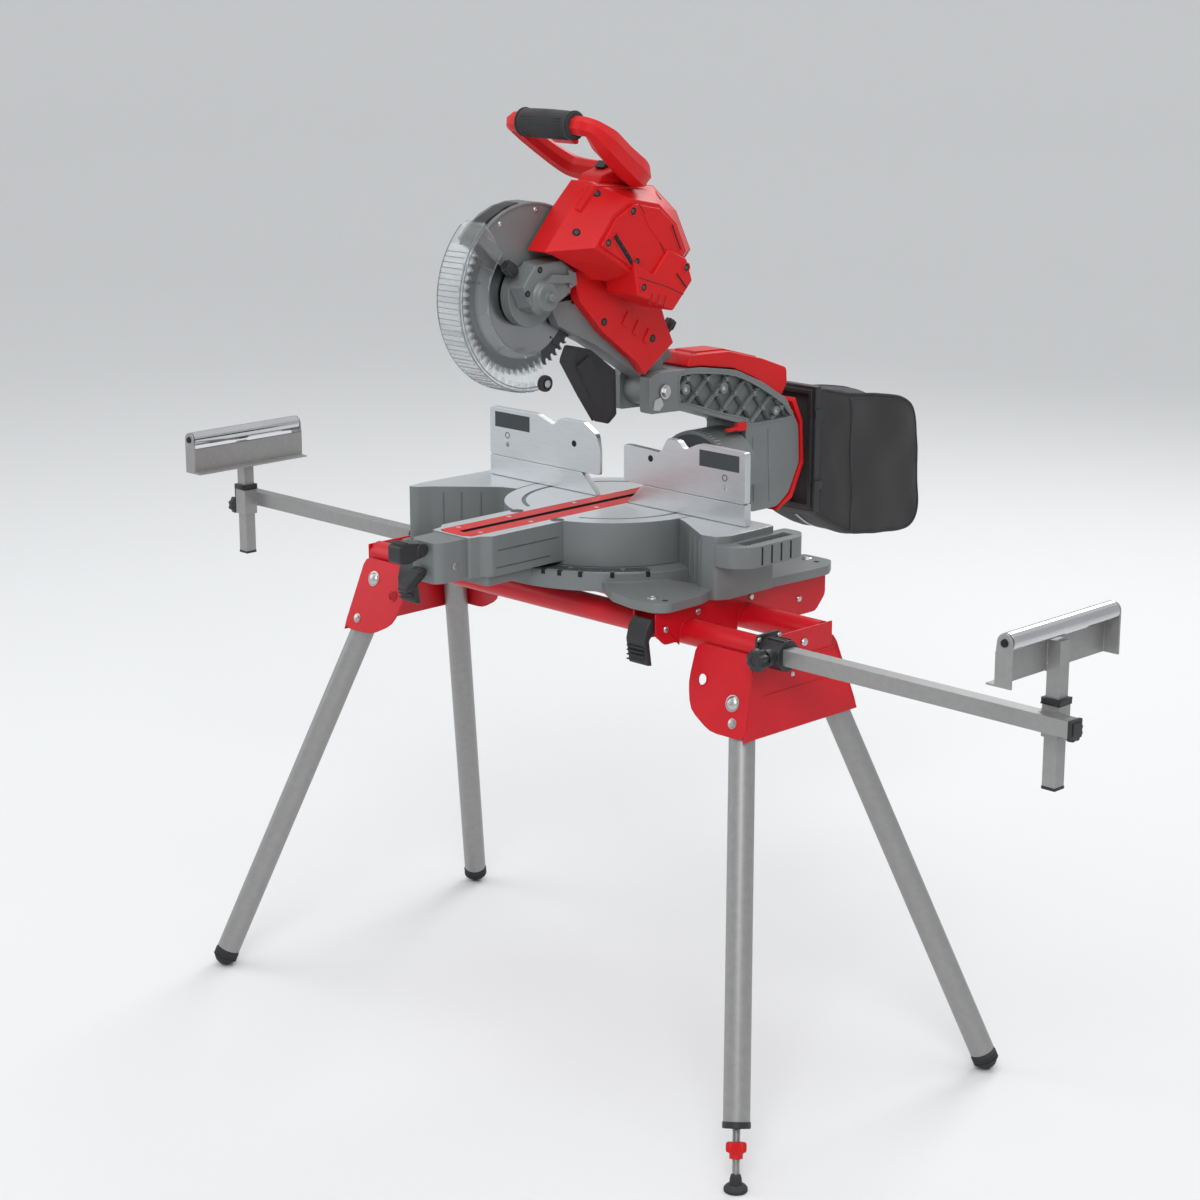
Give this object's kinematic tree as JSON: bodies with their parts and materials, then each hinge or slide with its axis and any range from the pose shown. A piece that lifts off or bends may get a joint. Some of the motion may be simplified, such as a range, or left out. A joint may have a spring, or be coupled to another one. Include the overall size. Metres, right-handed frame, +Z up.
{
  "type": "mitre saw on stand",
  "caption": "Sliding compound mitre saw with dust bag bolted to a folding tubular stand with telescopic roller arms.",
  "frame": {"origin": "on the floor, under the middle of the overall box; the rails' middle is 188.47 mm nearer the operator", "axes": "+X along the rails to the operator's right, +Y away from the operator, +Z up"},
  "size_m": [2, 1.195, 1.512],
  "materials": {
    "red_paint": "gloss powder coat",
    "silver_tube": "satin silver grey",
    "chrome": "polished",
    "black_plastic": "textured black",
    "black_rubber": "soft black",
    "cast_grey": "dark grey painted casting",
    "red_plastic": "moulded red",
    "machined_aluminium": "machined and brushed",
    "blade_steel": "ground plate",
    "bright_steel": "turned",
    "clear_plastic": "clear polycarbonate",
    "bag_cloth": "woven black cloth"
  },
  "bodies": {
    "stand": {"rail_front": "red_paint", "rail_back": "red_paint", "end_bracket_left": "red_paint", "end_bracket_right": "red_paint", "rail_cap_left": "black_plastic", "rail_cap_right": "black_plastic"},
    "extension_left": {"extension_arm_left": "silver_tube"},
    "extension_right": {"extension_arm_right": "silver_tube"},
    "roller_post_left": {"roller_stand_left": "silver_tube"},
    "roller_post_right": {"roller_stand_right": "silver_tube"},
    "roller_tube_left": {"roller_left": "chrome"},
    "roller_tube_right": {"roller_right": "chrome"},
    "arm_knob_left": {"arm_lock_knob_left": "black_plastic"},
    "arm_knob_right": {"arm_lock_knob_right": "black_plastic"},
    "post_knob_left": {"post_lock_knob_left": "black_plastic"},
    "post_knob_right": {"post_lock_knob_right": "black_plastic"},
    "front_left_leg": {"leg_front_left": "silver_tube", "foot_front_left": "black_rubber"},
    "front_right_leg": {"leg_front_right": "silver_tube"},
    "levelling_screw": {"levelling_foot": "black_rubber"},
    "back_left_leg": {"leg_back_left": "silver_tube", "foot_back_left": "black_rubber"},
    "back_right_leg": {"leg_back_right": "silver_tube", "foot_back_right": "black_rubber"},
    "saw_base": {"mount_bracket_left": "red_paint", "mount_bracket_right": "red_paint", "base_casting": "cast_grey", "fence_lower_left": "machined_aluminium", "fence_lower_right": "machined_aluminium"},
    "bracket_release_left": {"bracket_lever_left": "black_plastic"},
    "bracket_release_right": {"bracket_lever_right": "black_plastic"},
    "sliding_fence_left": {"fence_upper_left": "machined_aluminium"},
    "sliding_fence_right": {"fence_upper_right": "machined_aluminium"},
    "table": {"turntable": "cast_grey", "kerf_plate": "red_plastic"},
    "mitre_grip": {"mitre_lock_handle": "black_plastic"},
    "detent": {"detent_lever": "black_plastic"},
    "slide": {"slide_carriage": "cast_grey", "slide_rail_left": "chrome", "slide_rail_right": "chrome"},
    "bevel": {"bevel_arm": "cast_grey", "duct_cover": "red_plastic", "rear_plate": "red_plastic", "head_hinge_pin": "bright_steel", "dust_bag": "bag_cloth"},
    "head": {"head_casting": "cast_grey", "motor_housing": "red_plastic", "motor": "bright_steel", "upper_guard": "cast_grey", "gear_case": "cast_grey", "handle": "red_plastic", "grip": "black_rubber", "dust_chute": "black_rubber"},
    "spindle": {"saw_blade": "blade_steel", "arbor": "bright_steel"},
    "clear_guard": {"lower_guard": "clear_plastic"},
    "guard_wheel": {"guard_roller": "black_rubber"},
    "switch": {"trigger": "black_plastic"},
    "spindle_knob": {"spindle_lock_knob": "black_plastic"},
    "depth_stop": {"chop_stop_knob": "black_plastic"}
  },
  "joints": [
    {"name": "left_arm_slide", "type": "slide", "parent": "stand", "child": "extension_left", "axis": [-1, 0, 0], "range_m": [-0.43, 0]},
    {"name": "left_post_slide", "type": "slide", "parent": "extension_left", "child": "roller_post_left", "axis": [0, 0, 1], "range_m": [-0.035, 0.06]},
    {"name": "left_roller_spin", "type": "hinge", "parent": "roller_post_left", "child": "roller_tube_left", "pos_m": [-0.951, -0.14877, 0.8685], "axis": [0, 1, 0], "continuous": true},
    {"name": "left_arm_knob_turn", "type": "hinge", "parent": "stand", "child": "arm_knob_left", "pos_m": [-0.4726, -0.07647, 0.739], "axis": [0, 1, 0], "range_deg": [-180, 180]},
    {"name": "left_post_knob_turn", "type": "hinge", "parent": "extension_left", "child": "post_knob_left", "pos_m": [-0.974, -0.15247, 0.725], "axis": [1, 0, 0], "range_deg": [-180, 180]},
    {"name": "right_arm_slide", "type": "slide", "parent": "stand", "child": "extension_right", "axis": [1, 0, 0], "range_m": [-0.43, 0]},
    {"name": "right_post_slide", "type": "slide", "parent": "extension_right", "child": "roller_post_right", "axis": [0, 0, 1], "range_m": [-0.035, 0.06]},
    {"name": "right_roller_spin", "type": "hinge", "parent": "roller_post_right", "child": "roller_tube_right", "pos_m": [0.951, -0.22817, 0.8685], "axis": [0, 1, 0], "continuous": true},
    {"name": "right_arm_knob_turn", "type": "hinge", "parent": "stand", "child": "arm_knob_right", "pos_m": [0.4726, -0.30047, 0.739], "axis": [0, 1, 0], "range_deg": [-180, 180]},
    {"name": "right_post_knob_turn", "type": "hinge", "parent": "extension_right", "child": "post_knob_right", "pos_m": [0.974, -0.22447, 0.725], "axis": [1, 0, 0], "range_deg": [-180, 180]},
    {"name": "front_left_leg_fold", "type": "hinge", "parent": "stand", "child": "front_left_leg", "pos_m": [-0.41326, -0.2687, 0.697], "axis": [0, -0.9517, 0.3069], "range_deg": [0, 105.3]},
    {"name": "front_right_leg_fold", "type": "hinge", "parent": "stand", "child": "front_right_leg", "pos_m": [0.42506, -0.28192, 0.656], "axis": [0, 0.9517, -0.3069], "range_deg": [0, 105.3]},
    {"name": "levelling_screw_height", "type": "slide", "parent": "front_right_leg", "child": "levelling_screw", "axis": [0.2641, -0.296, -0.9179], "range_m": [-0.012, 0.02]},
    {"name": "back_left_leg_fold", "type": "hinge", "parent": "stand", "child": "back_left_leg", "pos_m": [-0.41326, -0.10824, 0.697], "axis": [0, -0.9517, -0.3069], "range_deg": [0, 105.3]},
    {"name": "back_right_leg_fold", "type": "hinge", "parent": "stand", "child": "back_right_leg", "pos_m": [0.42506, -0.09502, 0.656], "axis": [0, 0.9517, 0.3069], "range_deg": [0, 105.3]},
    {"name": "saw_along_rails", "type": "slide", "parent": "stand", "child": "saw_base", "axis": [1, 0, 0], "range_m": [-0.02, 0.02]},
    {"name": "left_bracket_lever_lift", "type": "hinge", "parent": "saw_base", "child": "bracket_release_left", "pos_m": [-0.265, -0.32897, 0.771], "axis": [-1, 0, 0], "range_deg": [0, 25], "stiffness_Nm_per_rad": 0.6, "springref_deg": -5.73},
    {"name": "right_bracket_lever_lift", "type": "hinge", "parent": "saw_base", "child": "bracket_release_right", "pos_m": [0.265, -0.32897, 0.771], "axis": [-1, 0, 0], "range_deg": [0, 25], "stiffness_Nm_per_rad": 0.6, "springref_deg": -5.73},
    {"name": "left_fence_slide", "type": "slide", "parent": "saw_base", "child": "sliding_fence_left", "axis": [1, 0, 0], "range_m": [-0.13, 0]},
    {"name": "right_fence_slide", "type": "slide", "parent": "saw_base", "child": "sliding_fence_right", "axis": [1, 0, 0], "range_m": [0, 0.13]},
    {"name": "mitre_turn", "type": "hinge", "parent": "saw_base", "child": "table", "pos_m": [0, -0.13147, 0.882], "axis": [0, 0, 1], "range_deg": [-50, 60]},
    {"name": "mitre_grip_lift", "type": "hinge", "parent": "table", "child": "mitre_grip", "pos_m": [0, -0.55147, 0.87], "axis": [-1, 0, 0], "range_deg": [-4, 14]},
    {"name": "detent_press", "type": "hinge", "parent": "table", "child": "detent", "pos_m": [0, -0.54747, 0.834], "axis": [1, 0, 0], "range_deg": [0, 16], "stiffness_Nm_per_rad": 0.3, "springref_deg": -17.19},
    {"name": "slide_travel", "type": "slide", "parent": "table", "child": "slide", "axis": [0, -1, 0], "range_m": [-0.28, 0]},
    {"name": "bevel_tilt", "type": "hinge", "parent": "slide", "child": "bevel", "pos_m": [0, 0.16853, 0.882], "axis": [0, 1, 0], "range_deg": [-47, 47]},
    {"name": "chop", "type": "hinge", "parent": "bevel", "child": "head", "pos_m": [0, -0.05647, 1.055], "axis": [-1, 0, 0], "range_deg": [-46.6, 0]},
    {"name": "blade_spin", "type": "hinge", "parent": "head", "child": "spindle", "pos_m": [0, -0.32747, 1.236], "axis": [1, 0, 0], "continuous": true},
    {"name": "guard_retract", "type": "hinge", "parent": "head", "child": "clear_guard", "pos_m": [0, -0.32747, 1.236], "axis": [1, 0, 0], "range_deg": [-142.5, 0]},
    {"name": "guard_wheel_spin", "type": "hinge", "parent": "clear_guard", "child": "guard_wheel", "pos_m": [0.029, -0.30799, 1.09736], "axis": [1, 0, 0], "continuous": true},
    {"name": "trigger_squeeze", "type": "hinge", "parent": "head", "child": "switch", "pos_m": [0.024, -0.25847, 1.475], "axis": [1, 0, 0], "range_deg": [-8, 0], "stiffness_Nm_per_rad": 0.2, "springref_deg": 11.46},
    {"name": "spindle_knob_turn", "type": "hinge", "parent": "head", "child": "spindle_knob", "pos_m": [0.03, -0.37147, 1.274], "axis": [0, -0.8087, 0.5882], "range_deg": [-180, 180]},
    {"name": "depth_stop_turn", "type": "hinge", "parent": "head", "child": "depth_stop", "pos_m": [0, -0.01947, 1.129], "axis": [0, 0.6508, 0.7593], "range_deg": [-180, 180]}
  ],
  "couplings": [
    {"joint": "guard_retract", "follows": "chop", "ratio": 3.05}
  ]
}
